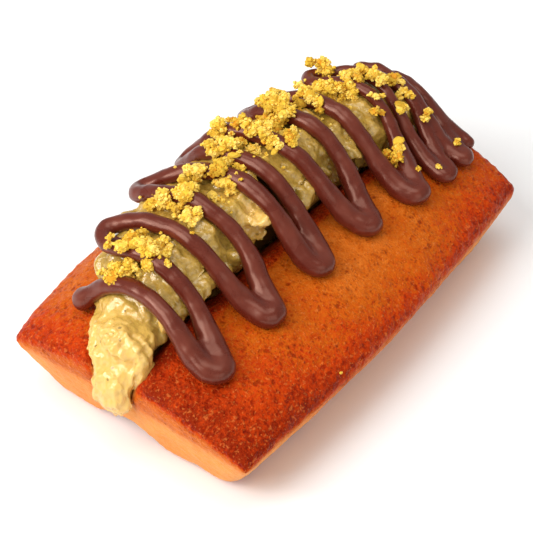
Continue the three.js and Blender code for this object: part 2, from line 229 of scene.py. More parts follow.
class FinishGraph:
    """A node material that is put together from Python expressions."""

    def __init__(self, name: str) -> None:
        """Starts a material with its surface shader and the piece's own coordinates."""
        self.material = bpy.data.materials.new(name)
        self.material.use_nodes = True
        self.tree = self.material.node_tree
        self.shader = self.tree.nodes["Principled BSDF"]
        self.place = self.node("ShaderNodeTexCoord", {}, {}, "Object")

    def feed(self, socket: bpy.types.NodeSocket, value: Any) -> None:
        """Links a signal to a socket, or sets a plain value on it."""
        if isinstance(value, Signal):
            self.tree.links.new(value.socket, socket)
        else:
            socket.default_value = value

    def node(self, kind: str, settings: dict[str, Any], inputs: dict[Any, Any], output: Any = 0) -> Signal:
        """Adds any node.

        Args:
            kind: The node's type.
            settings: Its own settings, set first; stops are a ramp's places and colours.
            inputs: Values or signals for its sockets, by name or by number.
            output: The socket to read, by name or by number.

        Returns:
            The signal of that socket.
        """
        made = self.tree.nodes.new(kind)
        for key, value in settings.items():
            if key != "stops":
                setattr(made, key, value)
        for number, (place, colour) in enumerate(settings.get("stops", [])):
            elements = made.color_ramp.elements
            stop = elements[number] if number < 2 else elements.new(1.0)
            stop.position, stop.color = place, colour
        for key, value in inputs.items():
            self.feed(made.inputs[key], value)
        return Signal(self, made.outputs[output])

    def math(self, operation: str, first: Operand, second: Operand) -> Signal:
        """Adds one Math node."""
        return self.node("ShaderNodeMath", {"operation": operation}, {0: first, 1: second})

    def attribute(self, name: str) -> Signal:
        """Reads a number that was painted on the piece."""
        return self.node("ShaderNodeAttribute", {"attribute_name": name}, {}, "Fac")

    def noise(self, size: float, detail: float = 2.0, roughness: float = 0.5) -> Signal:
        """Adds cloudy noise around one half, with patches of a size in metres and finer layers."""
        inputs = {"Vector": self.place, "Scale": 1 / size, "Detail": detail, "Roughness": roughness}
        return self.node("ShaderNodeTexNoise", {}, inputs)

    def stirred(self, size: float, reach: float) -> Signal:
        """Shifts the piece's coordinates by noise, so that a pattern laid on them turns ragged.

        Args:
            size: Size of the noise in metres.
            reach: How far it shifts a place, in metres.

        Returns:
            The shifted coordinates.
        """
        drift = self.node("ShaderNodeTexNoise", {}, {"Vector": self.place, "Scale": 1 / size}, "Color")
        shift = {0: drift, 1: (reach, reach, reach), 2: self.place}
        return self.node("ShaderNodeVectorMath", {"operation": "MULTIPLY_ADD"}, shift)

    def cells(self, size: float, place: Signal) -> Signal:
        """Adds a pattern of cells of a given size, read by distance from each middle."""
        return self.node("ShaderNodeTexVoronoi", {}, {"Vector": place, "Scale": 1 / size})

    def fade(self, signal: Signal, low: float, high: float) -> Signal:
        """Rises or falls between two levels like the plain fade."""
        inputs = {"Value": signal, "From Min": low, "From Max": high}
        return self.node("ShaderNodeMapRange", {"interpolation_type": "SMOOTHSTEP"}, inputs)

    def ramp(self, signal: Signal, stops: Sequence[tuple[float, Colour]]) -> Signal:
        """Turns a number into a colour between stops."""
        return self.node("ShaderNodeValToRGB", {"stops": stops}, {"Fac": signal})

    def blend(self, share: Operand, first: Any, second: Any) -> Signal:
        """Mixes two colours."""
        return self.node("ShaderNodeMix", {"data_type": "RGBA"}, {0: share, 6: first, 7: second}, 2)

    def bump(self, height: Signal, depth: float, strength: float) -> Signal:
        """Turns a height into the tilt of the surface, for relief finer than the mesh."""
        inputs = {"Strength": strength, "Distance": depth, "Height": height}
        return self.node("ShaderNodeBump", {}, inputs)

    def finish(self, **inputs: Any) -> Material:
        """Sets the surface shader's sockets.

        Args:
            inputs: Values or signals by socket name, with _ for each space.

        Returns:
            The finished material.
        """
        for key, value in inputs.items():
            self.feed(self.shader.inputs[key.replace("_", " ")], value)
        return self.material


@dataclass(frozen=True)
class CrustFinish:
    """Baked almond crust: golden on top, red-brown and pitted towards the rim, pale on the walls, with
    painted glints.
    """

    pale: Colour = pigment(230, 152, 74)
    amber: Colour = pigment(212, 114, 38)
    golden: Colour = pigment(192, 88, 14)
    russet: Colour = pigment(186, 54, 8)
    scorched: Colour = pigment(130, 27, 5)
    crumb: Colour = pigment(226, 162, 84)
    pit: Colour = pigment(120, 11, 3)
    glint: Colour = pigment(236, 134, 64)
    sheen: Colour = pigment(255, 178, 100)

    def material(self) -> Material:
        """Makes the crust's material.

        Returns:
            The material, which reads the browning, with painted shade on the slit's lip, and the inside
            attributes.
        """
        graph = FinishGraph("baked_crust")
        browning_and_shade = graph.attribute("browning_and_shade")
        blotch = graph.noise(9 * MM, 2) - 0.5
        mottle = graph.noise(1.5 * MM, 3, 0.65) - 0.5
        grain = graph.noise(0.5 * MM, 2, 0.6) - 0.5
        bake = browning_and_shade + blotch * 0.3 + mottle * 0.4 * (0.4 + browning_and_shade) + grain * 0.5 * (0.3 + browning_and_shade)
        light = [(0.0, self.pale), (0.28, self.amber), (0.48, self.golden)]
        dark = [(0.72, self.russet), (1.0, self.scorched)]
        colour = graph.ramp(bake, light + dark)
        patches = graph.noise(3 * MM, 2) + browning_and_shade * 0.6
        large = self.pits(graph, 1.5 * MM) * graph.fade(patches, 0.75, 1.0)
        small = self.pits(graph, 0.8 * MM) * graph.fade(patches, 0.55, 0.95)
        colour = graph.blend(large * 0.62, graph.blend(small * 0.32, colour, self.pit), self.pit)
        gloss = graph.noise(0.6 * MM, 2, 0.6)
        # Painted glints: small pale orange spots standing in for highlights on the moist crust.
        sparkle = graph.fade(gloss + browning_and_shade * 0.05, 0.6, 0.72)
        colour = graph.blend(sparkle * 0.35, colour, self.glint)
        colour = graph.blend(graph.attribute("inside"), colour, self.crumb)
        height = grain * 0.5 + mottle * 0.6 + sparkle * 0.3 - large * 0.6 - small * 0.4
        return graph.finish(
            Base_Color=colour,
            Roughness=0.66 - gloss * 0.4,
            Specular_IOR_Level=0.2,
            Specular_Tint=self.sheen,
            Normal=graph.bump(height, 0.5 * MM, 0.65),
            Subsurface_Weight=0.05,
            Subsurface_Radius=(1.0, 0.35, 0.1),
            Subsurface_Scale=1.0 * MM,
        )

    def pits(self, graph: FinishGraph, size: float) -> Signal:
        """Gives 1 in ragged little holes at a distance in metres from each other, and 0 between."""
        return graph.fade(graph.cells(size, graph.stirred(0.9 * size, 0.7 * size)), 0.42, 0.16)


@dataclass(frozen=True)
class CreamFinish:
    """Pistachio cream: pale yellow where fresh and wet and, partly as painted light, on its lit ends;
    olive in patches; dark specks; painted shade in its hollows.
    """

    pale: Colour = pigment(226, 182, 94)
    yellow: Colour = pigment(204, 164, 76)
    olive: Colour = pigment(152, 118, 42)
    speck: Colour = pigment(92, 70, 26)
    # Painted shade: the dark colour given to the hollows under the loops.
    shaded_hollow: Colour = pigment(52, 28, 10)
    sheen: Colour = pigment(255, 250, 236)

    def material(self) -> Material:
        """Makes the cream's material.

        Returns:
            The material, which reads the paleness, part lighter cream and part painted light, and the
            painted shade in the hollows.
        """
        graph = FinishGraph("pistachio_cream")
        smear = graph.noise(2.8 * MM, 3, 0.6)
        fine = graph.noise(0.7 * MM, 3, 0.6)
        # Paler on the run-out ends and tab: lighter cream, and painted light where they are lit.
        tone = graph.attribute("fresh_and_lit") * 0.5 + smear * 0.6 + fine * 0.3 - 0.12
        colour = graph.ramp(tone, [(0.15, self.olive), (0.45, self.yellow), (0.85, self.pale)])
        dot = graph.fade(graph.cells(1.9 * MM, graph.stirred(1.0 * MM, 0.6 * MM)), 0.2, 0.1)
        chance = graph.fade(graph.noise(3.1 * MM, 1), 0.52, 0.6)
        colour = graph.blend(dot * chance * 0.6, colour, self.speck)
        # Painted shade in the hollows under the loops.
        colour = graph.blend(graph.attribute("hollow_shade") * 0.85, colour, self.shaded_hollow)
        return graph.finish(
            Base_Color=colour,
            Roughness=0.04 + fine * 0.14,
            Specular_IOR_Level=0.9,
            Specular_Tint=self.sheen,
            Normal=graph.bump(fine * 0.5 + smear, 0.5 * MM, 0.4),
            Subsurface_Weight=0.15,
            Subsurface_Radius=(1.0, 0.7, 0.25),
            Subsurface_Scale=1.2 * MM,
        )


@dataclass(frozen=True)
class ChocolateFinish:
    """Set dark chocolate: red-brown, satin, with a faint bloom."""

    dark: Colour = pigment(88, 28, 17)
    bloom: Colour = pigment(112, 50, 36)
    sheen: Colour = pigment(255, 208, 186)

    def material(self) -> Material:
        """Makes the chocolate's material.

        Returns:
            The material.
        """
        graph = FinishGraph("dark_chocolate")
        haze = graph.noise(4 * MM, 3)
        fine = graph.noise(0.5 * MM, 2)
        colour = graph.blend(graph.fade(haze, 0.35, 0.75) * 0.55 + fine * 0.1, self.dark, self.bloom)
        return graph.finish(
            Base_Color=colour,
            Roughness=0.2 + haze * 0.16,
            Specular_IOR_Level=0.65,
            Specular_Tint=self.sheen,
            Normal=graph.bump(haze + fine * 0.12, 0.3 * MM, 0.12),
            Subsurface_Weight=0.03,
            Subsurface_Radius=(1.0, 0.4, 0.2),
            Subsurface_Scale=0.8 * MM,
        )


@dataclass(frozen=True)
class CrumbleFinish:
    """Pistachio crumble: dry golden yellow, pale on its crests, olive here and toasted there."""

    lemon: Colour = pigment(250, 218, 112)
    gold: Colour = pigment(238, 192, 66)
    olive: Colour = pigment(208, 168, 54)
    toast: Colour = pigment(222, 150, 40)
    sheen: Colour = pigment(255, 226, 150)

    def material(self) -> Material:
        """Makes the crumble's material.

        Returns:
            The material, which reads the toast attribute.
        """
        graph = FinishGraph("pistachio_crumble")
        fine = graph.noise(0.35 * MM, 3, 0.6)
        tone = graph.attribute("toast") + (fine - 0.5) * 0.5
        stops = [(0.0, self.lemon), (0.4, self.gold), (0.75, self.olive), (1.0, self.toast)]
        return graph.finish(
            Base_Color=graph.ramp(tone, stops),
            Roughness=0.6 + fine * 0.3,
            Specular_IOR_Level=0.25,
            Specular_Tint=self.sheen,
            Normal=graph.bump(fine, 0.25 * MM, 0.5),
            Subsurface_Weight=0.05,
            Subsurface_Radius=(1.0, 0.7, 0.2),
            Subsurface_Scale=0.5 * MM,
        )


@dataclass(frozen=True)
class TableFinish:
    """A smooth white table top."""

    white: Colour = pigment(250, 250, 249)
    shade: Colour = pigment(244, 244, 243)

    def material(self) -> Material:
        """Makes the table's material.

        Returns:
            The material.
        """
        graph = FinishGraph("white_table")
        cloud = graph.noise(60 * MM, 2)
        colour = graph.blend(cloud, self.shade, self.white)
        return graph.finish(Base_Color=colour, Roughness=0.55 + cloud * 0.1)


@dataclass(frozen=True)
class Relief:
    """One layer of unevenness, pressed into a surface along its normals. Millimetres."""

    size: float
    height: float
    layers: int = 1
    creased: bool = False
    stretch: Triple = (1.0, 1.0, 1.0)
    grain: Grain = Grain.CLOUDS

    def press(self, piece: Piece, where: str = "") -> None:
        """Presses the layer into a piece.

        Args:
            piece: The piece to change.
            where: Name of the painted numbers that weaken it, or nothing for all over.
        """
        texture = bpy.data.textures.new(f"{piece.name}_{self.grain.name}", self.grain.value)
        texture.noise_scale = self.size * MM
        if self.grain is Grain.CLOUDS:
            texture.noise_depth = self.layers
            texture.noise_type = "HARD_NOISE" if self.creased else "SOFT_NOISE"
        bpy.ops.object.empty_add()
        guide = bpy.context.object
        guide.scale = self.stretch
        apply_modifier(
            piece,
            "DISPLACE",
            texture=texture,
            texture_coords="OBJECT",
            texture_coords_object=guide,
            strength=self.height * MM,
            vertex_group=weights(where),
        )
        bpy.data.objects.remove(guide)


class Ground:
    """The surfaces that a next layer is laid on."""

    def __init__(self, pieces: Sequence[Piece]) -> None:
        """Reads the pieces as they are now."""
        depsgraph = bpy.context.evaluated_depsgraph_get()
        self.trees = [BVHTree.FromObject(piece, depsgraph) for piece in pieces]

    def height(self, x: float, y: float) -> float:
        """Gives the height of what is seen from above at a place, in metres, or 0 beside the cake."""
        hits = [tree.ray_cast(Vector((x, y, DROP_HEIGHT)), DOWN)[0] for tree in self.trees]
        return max([hit.z for hit in hits if hit is not None], default=0.0)


@dataclass
class SpongeBar:
    """The almond sponge bar, slit along its top. Millimetres."""

    voxel: float = 0.45
    smoothing: int = 22
    rim_smoothing: int = 70
    rim_length: float = 92.0
    rim_height: float = 13.5
    narrow_corner: float = 25.8
    narrow_bow: float = 4.0
    narrow_power: float = 4.7
    wide_corner: float = 26.8
    wide_taper: float = 1.1
    wide_bow: float = 2.8
    wide_power: float = 1.9
    corner_sharpness: float = 0.7
    slit_floor: float = 9.5
    slit_offsets: Span = (1.9, 0.2)
    slit_bow: float = 4.3
    slit_powers: Span = (5.0, 2.2)
    slit_half: float = 2.6
    slit_slope: float = 0.2
    slit_flare: float = 0.065
    flare_height: float = 14.0
    top_tone: float = 0.38
    wall_tone: float = 0.04
    under_tone: float = 0.4
    # How much the wet lip by the slit darkens; part of this is painted shade.
    wet_shaded_lip_tone: float = 0.5
    reliefs: tuple[Relief, ...] = (Relief(13, 0.9, 2), Relief(1.5, 0.34, 2))
    pits: Relief = Relief(1.8, 0.5, grain=Grain.CELLS)

    def build(self) -> Piece:
        """Models the bar with its crust.

        Returns:
            The bar.
        """
        bar = copy_of_node("sponge", "almond_sponge")
        reskin(bar, self.voxel, self.smoothing)
        self.soften_rim(bar)
        self.brown(bar)
        for relief in self.reliefs:
            relief.press(bar, "open")
        self.pits.press(bar, "browning_and_shade")
        shade_smooth(bar)
        settle(bar, CrustFinish().material(), "sponge")
        return bar

    def soften_rim(self, bar: Piece) -> None:
        """Rounds the rim off, less so at the four corners.

        Args:
            bar: The smooth bar.
        """
        x, y, z = (points_of(bar) / MM).T
        side_gap = np.abs(self.rim_half_width(x, y) - np.abs(y))
        end_gap = np.abs(self.rim_length / 2 - np.abs(x))
        close = fade(np.minimum(side_gap, end_gap), 7, 2) * fade(np.abs(z - self.rim_height), 6, 2)
        corner = fade(np.maximum(side_gap, end_gap), 8, 3)
        paint(bar, "rim", close * (1 - self.corner_sharpness * corner))
        even_out(bar, self.rim_smoothing, "rim")

    def brown(self, bar: Piece) -> None:
        """Paints the browning, the wet lip of the slit darkened with painted shade, and where the slit
        shows the inside.

        Args:
            bar: The smooth bar.
        """
        x, y, z = (points_of(bar) / MM).T
        upright = np.array([vertex.normal.z for vertex in bar.data.vertices])
        side_gap = self.rim_half_width(x, y) - np.abs(y)
        end_gap = self.rim_length / 2 - np.abs(x)
        near = fade(x, 15, -45)
        far = fade(x, 5, 40)
        wide = fade(y, 4, -8)
        side = np.exp(-np.clip(side_gap, 0, None) / (3 + 4 * near)) * (0.5 + 0.5 * wide)
        end = np.exp(-np.clip(end_gap, 0, None) / (3 + 8 * near)) * (0.3 + 0.7 * near)
        rim = np.maximum(side, end) * (1 - 0.2 * near * wide)
        # Also darker towards the far end of the wide half.
        top = self.top_tone + 0.02 * wide + 0.5 * rim + 0.2 * near * wide + 0.16 * far * wide
        long_wall = 0.25 * wide * fade(x, -36, -10) * fade(z, 6, 12)
        upper_wall = 0.15 * fade(z, 9, 13.5) + 0.25 * fade(z, 11.4, 13.6)
        wall = self.wall_tone + 0.06 * (1 - wide) + upper_wall + long_wall
        upward = fade(upright, -0.1, 0.6)
        under = fade(-upright, 0.6, 0.9)
        browning_and_shade = np.clip(top, 0, 1) * upward + wall * (1 - upward)
        browning_and_shade = np.maximum(browning_and_shade, self.under_tone * under)
        edge = np.abs(y - self.slit_centre(x)) - self.slit_half_width(z)
        # Painted shade under the overhanging cream, with some wetness, darkens the crust's lip by the
        # slit.
        wet_shaded_lip = fade(edge, 3.4, 0.6) * wide * fade(z, 16, 19) * fade(np.abs(x), 44, 36)
        in_slit = fade(edge, 0.9, 0.3) * fade(z, self.slit_floor - 1, self.slit_floor - 0.2)
        inside = in_slit * fade(z, 18, self.flare_height)
        paint(bar, "browning_and_shade", np.clip(browning_and_shade + self.wet_shaded_lip_tone * wet_shaded_lip, 0, 1) * (1 - inside))
        paint(bar, "inside", inside)
        paint(bar, "open", (1 - inside) * fade(-upright, 0.95, 0.6))

    def rim_half_width(self, x: Array, y: Array) -> Array:
        """Gives the distance from the middle to the rim on the half of the bar that a place is on.

        Args:
            x: Places along the bar.
            y: Places across the bar.

        Returns:
            The half widths.
        """
        share = np.clip(x / (self.rim_length / 2), -1, 1)
        narrow = self.narrow_corner + self.narrow_bow * (1 - np.abs(share) ** self.narrow_power)
        wide = self.wide_corner - self.wide_taper * share
        wide += self.wide_bow * (1 - np.abs(share) ** self.wide_power)
        return np.where(y > 0, narrow, wide)

    def slit_centre(self, x: Array) -> Array:
        """Follows the hand-drawn slit across the top.

        Args:
            x: Places along the bar.

        Returns:
            Its place across the bar.
        """
        share = np.clip(x / (self.rim_length / 2), -1, 1)
        near, far = self.slit_offsets
        line = near + (far - near) * (1 + share) / 2
        return line + self.slit_bow * (1 - np.abs(share) ** np.where(share < 0, *self.slit_powers))

    def slit_half_width(self, z: Array) -> Array:
        """Gives half the width of the slit at a height, where its sides flare out towards the top."""
        flare = self.slit_flare * np.clip(z - self.flare_height, 0, None) ** 2
        return self.slit_half + self.slit_slope * (z - self.slit_floor) + flare


@dataclass(frozen=True)
class Dollop:
    """A lump or a hollow of the cream: middle, half sizes and turn in degrees. Millimetres."""

    middle: Triple
    half_size: Triple
    turn: float = 0.0


@dataclass
class CreamHeap:
    """The pistachio cream in the slit, heaped over it and run out over the ends. Millimetres."""

    voxel: float = 0.36
    smoothing: int = 8
    dollops: tuple[Dollop, ...] = (
        Dollop((-7.6, -2.0, 29.4), (3.3, 2.1, 1.1), -12),
        Dollop((-25.0, -2.2, 26.0), (3.6, 2.0, 2.2), 20),
        Dollop((4.8, -2.6, 27.0), (3.2, 1.8, 2.6), 40),
        Dollop((20.1, -2.2, 27.2), (2.8, 1.8, 2.4), 60),
        Dollop((30.0, -2.6, 25.8), (2.4, 1.8, 2.6), 30),
        Dollop((-14.5, -1.6, 25.4), (2.6, 1.6, 3.0)),
        Dollop((-17.5, 15.4, 28.0), (4.5, 2.6, 3.0)),
        Dollop((-40.5, 2.8, 22.4), (4.4, 5.6, 3.0)),
        Dollop((-46.4, 1.4, 14.6), (1.5, 4.2, 5.5)),
        Dollop((-46.2, -1.4, 13.4), (1.0, 1.6, 2.2)),
        Dollop((-41.8, -2.6, 16.5), (2.6, 1.6, 6.0)),
    )
    hollows: tuple[Dollop, ...] = (
        Dollop((-0.6, 0.0, 28.5), (2.4, 6.0, 6.0)),
        Dollop((-6.0, -3.2, 20.8), (5.0, 4.6, 6.0)),
        Dollop((-25.0, -3.6, 22.5), (3.6, 3.4, 3.6)),
        Dollop((18.5, -5.0, 24.5), (3.4, 3.0, 3.2)),
        Dollop((33.0, -5.0, 22.4), (2.4, 2.8, 2.6)),
    )
    # The camera's line of sight, along which the painted shade in the hollows grows darker.
    sight: Triple = (0.58, 0.44, -0.69)
    swell: float = 0.3
    hollow_skin: float = 1.04
    lip_lumps: int = 30
    lip_reach: float = 38.0
    lip_bow: float = 5.0
    lip_edge: float = -6.8
    lip_offsets: Span = (-0.6, 1.2)
    lip_heights: Span = (24.2, 26.8)
    lip_sizes: tuple[Span, ...] = ((0.8, 2.0), (0.8, 1.6), (0.6, 1.8))
    half_length: float = 46.0
    seed: int = 5
    lumps: Relief = Relief(6.5, 2.2)
    folds: Relief = Relief(3.4, 1.4, creased=True, stretch=(0.9, 1.6, 1.6))
    grain: Relief = Relief(1.3, 0.3)
    streaks: Relief = Relief(1.6, 0.85, creased=True, stretch=(3.0, 0.8, 3.0))

    def build(self) -> Piece:
        """Models the cream.

        Returns:
            The cream.
        """
        cream = copy_of_node("cream", "pistachio_cream")
        added = [self.model(dollop) for dollop in self.dollops + self.ragged_lip()]
        select_only(cream)
        for lump in added:
            lump.select_set(True)
        bpy.ops.object.join()
        reskin(cream, self.voxel, self.smoothing)
        apply_modifier(cream, "DISPLACE", strength=self.swell * MM, mid_level=0)
        self.mark(cream)
        for relief in (self.lumps, self.folds, self.grain):
            relief.press(cream, "open")
        self.streaks.press(cream, "fresh_and_lit")
        shade_smooth(cream)
        settle(cream, CreamFinish().material(), "cream")
        return cream

    def ragged_lip(self) -> tuple[Dollop, ...]:
        """Scatters small lumps along the lower edge of the heap on the wide half.

        Returns:
            The lumps.
        """
        dice = random.Random(self.seed)
        found = []
        for number in range(self.lip_lumps):
            x = self.lip_reach * (2 * (number + dice.random()) / self.lip_lumps - 1)
            edge = self.lip_bow * (1 - (x / self.half_length) ** 4) + self.lip_edge
            middle = (x, edge + dice.uniform(*self.lip_offsets), dice.uniform(*self.lip_heights))
            half_size = tuple(dice.uniform(*sizes) for sizes in self.lip_sizes)
            found.append(Dollop(middle, half_size, dice.uniform(0, 180)))
        return tuple(found)

    def model(self, dollop: Dollop) -> Piece:
        """Models one flap or lump, to be joined to the cream or cut out of it."""
        bpy.ops.mesh.primitive_ico_sphere_add(
            subdivisions=3,
            location=Vector(dollop.middle) * MM,
            rotation=(0, 0, math.radians(dollop.turn)),
            scale=Vector(dollop.half_size) * MM,
        )
        return bpy.context.object

    def sink(self, cream: Piece) -> None:
        """Cuts the hollows under the loops out of the cream and paints shade into them.

        Args:
            cream: The finished cream.
        """
        for shaded_hollow in self.hollows:
            cutter = self.model(shaded_hollow)
            shade_smooth(cutter)
            apply_modifier(cream, "BOOLEAN", operation="DIFFERENCE", solver="MANIFOLD", object=cutter)
            bpy.data.objects.remove(cutter)
        places = points_of(cream) / MM
        hollow_shade = np.zeros(len(places))
        for shaded_hollow in self.hollows:
            offset = places - np.array(shaded_hollow.middle)
            inside = np.linalg.norm(offset / np.array(shaded_hollow.half_size), axis=1) < self.hollow_skin
            # Painted shade, darker the further a place lies along the line of sight.
            hollow_shade = np.maximum(hollow_shade, inside * fade(offset @ np.array(self.sight), -1.0, 2.0))
        paint(cream, "hollow_shade", hollow_shade)

    def mark(self, cream: Piece) -> None:
        """Paints where the cream is free of the sponge and where it is paler, as lighter cream and as
        painted light on the lit ends and tab.

        Args:
            cream: The smooth cream.
        """
        places = points_of(cream) / MM
        x, _, z = places.T
        shred = np.linalg.norm(places - np.array(self.dollops[0].middle), axis=1)
        run_out = fade(np.abs(x), 44.5, 46.5)
        free = np.maximum(fade(z, 18.5, 22.5), run_out * fade(z, 5, 8))
        paint(cream, "open", free)
        # Paler at the run-out ends and on the tab: lighter cream there, and painted light where these are
        # lit.
        ends = np.maximum(fade(x, -33, -43), fade(x, 43, 46))
        paint(cream, "fresh_and_lit", np.maximum(ends, fade(shred, 4.8, 2.8)))


@dataclass(frozen=True)
class Loop:
    """A loop of the zigzag: place, tip and gap, its legs on the crest, the turn after it. Millimetres."""

    x: float
    tip: float
    gap: float
    legs: Span
    turn: Span


@dataclass
class ChocolateZigzag:
    """The bead of dark chocolate piped to and fro across the cream and the sponge. Millimetres."""

    ground: Ground
    loops: tuple[Loop, ...] = (
        Loop(-35.4, -14.6, 2.0, (-34.6, -29.7), (-27.4, 17.9)),
        Loop(-20.0, -14.2, 1.9, (-22.5, -14.7), (-13.6, 21.3)),
        Loop(-4.6, -14.0, 1.8, (-5.2, -0.3), (0.8, 22.0)),
        Loop(9.9, -14.6, 1.9, (6.4, 15.2), (16.6, 19.4)),
        Loop(23.5, -16.2, 1.8, (22.8, 30.6), (30.8, 15.0)),
        Loop(32.9, -17.4, 1.4, (36.2, 39.0), (39.8, 10.0)),
        Loop(39.2, -17.2, 1.1, (42.2, 43.8), (43.8, 4.0)),
    )
    start: Span = (-36.9, 17.5)
    end: Span = (43.4, -16.0)
    crest: Span = (-3.4, 6.0)
    turn_gap: float = 2.7
    last_turn_gap: float = 0.5
    bend_depth: float = 3.0
    half_width: float = 1.74
    half_height: float = 1.55
    tip_swell: float = 1.36
    swell_span: Span = (2, 11)
    start_blob: float = 1.3
    blob_span: Span = (5, 2)
    far_slimness: float = 0.7
    far_span: Span = (24, 34)
    unevenness: float = 0.05
    waves: Span = (3.1, 7.3)
    leg_sag: float = 0.035
    bend_sag: float = 0.22
    turn_sag: float = 1.0
    loop_span: Span = (6, 11)
    turn_span: Span = (12, 16)
    footing: float = 0.7
    settling: int = 200
    sink: float = 0.25
    easing: int = 6
    curve_steps: int = 12
    rests: int = 330
    rings: int = 900
    voxel: float = 0.3
    smoothing: int = 7
    loop_smoothing: int = 24
    soft_span: Span = (5, 10)
    wobble: Relief = Relief(3.5, 0.45)

    def build(self) -> Piece:
        """Models the bead.

        Returns:
            The bead.
        """
        path = self.drape(self.spaced(self.plan(), self.rests))
        bead = self.pipe(self.spaced(path, self.rings))
        reskin(bead, self.voxel, self.smoothing)
        paint(bead, "loops", fade(-points_of(bead)[:, 1] / MM, *self.soft_span))
        even_out(bead, self.loop_smoothing, "loops")
        self.wobble.press(bead)
        shade_smooth(bead)
        settle(bead, ChocolateFinish().material(), "chocolate")
        return bead

    def plan(self) -> Array:
        """Lays out the zigzag as it is seen from above.

        Returns:
            Rows of x and y along its bends.
        """
        points = [self.start]
        begin, finish = self.crest
        for loop, following in zip(self.loops, self.loops[1:] + (None,)):
            before, after = loop.legs
            gap = min(self.turn_gap, (following.legs[0] - after) / 2) if following else self.last_turn_gap
            points.append((before, finish))
            points += self.bend(loop.x, loop.tip, loop.gap, self.bend_depth)
            points.append((after, begin))
            if following:
                points.append((after, finish))
            points += self.bend(*loop.turn, gap, -self.bend_depth)
        points.append(self.end)
        return np.array(points)

    def bend(self, x: float, y: float, gap: float, depth: float) -> list[Span]:
        """Gives the three points that a bend runs through."""
        return [(x - gap, y + depth), (x, y), (x + gap, y + depth)]

    def spaced(self, points: Array, count: int) -> Array:
        """Sets points at equal distances on a smooth curve.

        Args:
            points: Rows of the points that the curve runs through.
            count: Number of steps wanted.

        Returns:
            Rows of the points wanted.
        """
        before = np.vstack([points[:1], points[:-2]])
        after = np.vstack([points[2:], points[-1:]])
        steps = np.linspace(0, 1, self.curve_steps, endpoint=False)[:, None, None]
        first, last = points[:-1], points[1:]
        lead, trail = (last - before) / 2, (after - first) / 2
        cubic = 2 * first - 2 * last + lead + trail
        square = 3 * last - 3 * first - 2 * lead - trail
        curve = ((cubic * steps + square) * steps + lead) * steps + first
        dense = np.vstack([curve.transpose(1, 0, 2).reshape(-1, points.shape[1]), points[-1:]])
        travelled = np.concatenate([[0], np.cumsum(np.linalg.norm(np.diff(dense, axis=0), axis=1))])
        wanted = np.linspace(0, travelled[-1], count + 1)
        return np.column_stack([np.interp(wanted, travelled, column) for column in dense.T])

    def drape(self, plan: Array) -> Array:
        """Lays the bead down: it rests on what is below it and sags between its rests.

        Args:
            plan: Rows of x and y at equal distances.

        Returns:
            Rows of x, y and z of the bead's middle.
        """
        along = np.gradient(plan, axis=0)
        along /= np.linalg.norm(along, axis=1, keepdims=True)
        aside = np.column_stack([-along[:, 1], along[:, 0]]) * self.footing * self.half_width
        floor = np.array([
            max(self.ground.height(*(place * MM)) / MM for place in (spot, spot + across, spot - across))
            for spot, across in zip(plan, aside)
        ])
        floor += self.half_height - self.sink
        looped = fade(-plan[:, 1], *self.loop_span)
        turned = fade(plan[:, 1], *self.turn_span)
        sag = self.leg_sag * (1 - looped - turned) + self.bend_sag * looped + self.turn_sag * turned
        height = floor.copy()
        for _ in range(self.settling):
            for i in range(1, len(height) - 1):
                height[i] = max(floor[i], (height[i - 1] + height[i + 1]) / 2 - sag[i])
        for _ in range(self.easing):
            height[1:-1] = (height[:-2] + 2 * height[1:-1] + height[2:]) / 4
        return np.column_stack([plan, height])

    def thickness(self, path: Array) -> Array:
        """Gives the bead's thickness along its way.

        Args:
            path: Rows of x, y and z of its middle.

        Returns:
            Shares of its usual thickness, rounded off at both ends.
        """
        swell = 1 + (self.tip_swell - 1) * fade(-path[:, 1], *self.swell_span)
        slim = 1 + (self.far_slimness - 1) * fade(path[:, 0], *self.far_span)
        step = np.linalg.norm(path[1] - path[0])
        travelled = np.arange(len(path)) * step
        to_end = np.minimum(travelled, travelled[::-1]) / self.half_width
        cap = np.sqrt(1 - (1 - np.clip(to_end, 0.02, 1)) ** 2)
        blob = 1 + (self.start_blob - 1) * fade(travelled, *self.blob_span)
        short, long = self.waves
        uneven = 1 + self.unevenness * np.sin(travelled / short) * np.cos(travelled / long)
        return swell * slim * cap * blob * uneven

    def pipe(self, path: Array) -> Piece:
        """Draws the bead's oval section along its way.

        Args:
            path: Rows of x, y and z of its middle.

        Returns:
            The bead as a mesh.
        """
        bpy.ops.curve.primitive_bezier_circle_add(radius=1)
        section = bpy.context.object
        section.scale = (self.half_width * MM, self.half_height * MM, 1)
        bpy.ops.object.transform_apply(scale=True)
        bpy.ops.curve.primitive_bezier_curve_add()
        bead = bpy.context.object
        bead.name = "chocolate_zigzag"
        bead.data.splines.clear()
        spline = bead.data.splines.new("POLY")
        spline.points.add(len(path) - 1)
        places = np.column_stack([path * MM, np.ones(len(path))])
        spline.points.foreach_set("co", places.ravel())
        spline.points.foreach_set("radius", self.thickness(path))
        bead.data.twist_mode = "Z_UP"
        bead.data.bevel_mode = "OBJECT"
        bead.data.bevel_object = section
        bead.data.use_fill_caps = True
        bpy.ops.object.convert(target="MESH")
        bpy.data.objects.remove(section)
        return bpy.context.object


@dataclass(frozen=True)
class Heap:
    """A heap of crumble: its place, reach, number of clumps and largest clump. Millimetres."""

    x: float
    y: float
    reach: float
    clumps: int
    largest: float


@dataclass(frozen=True)
class Grit:
    """One grain of the crumble: its middle, half sizes and tone, and whether it is a bare core."""

    middle: Array
    half_size: Array
    tone: float
    core: bool


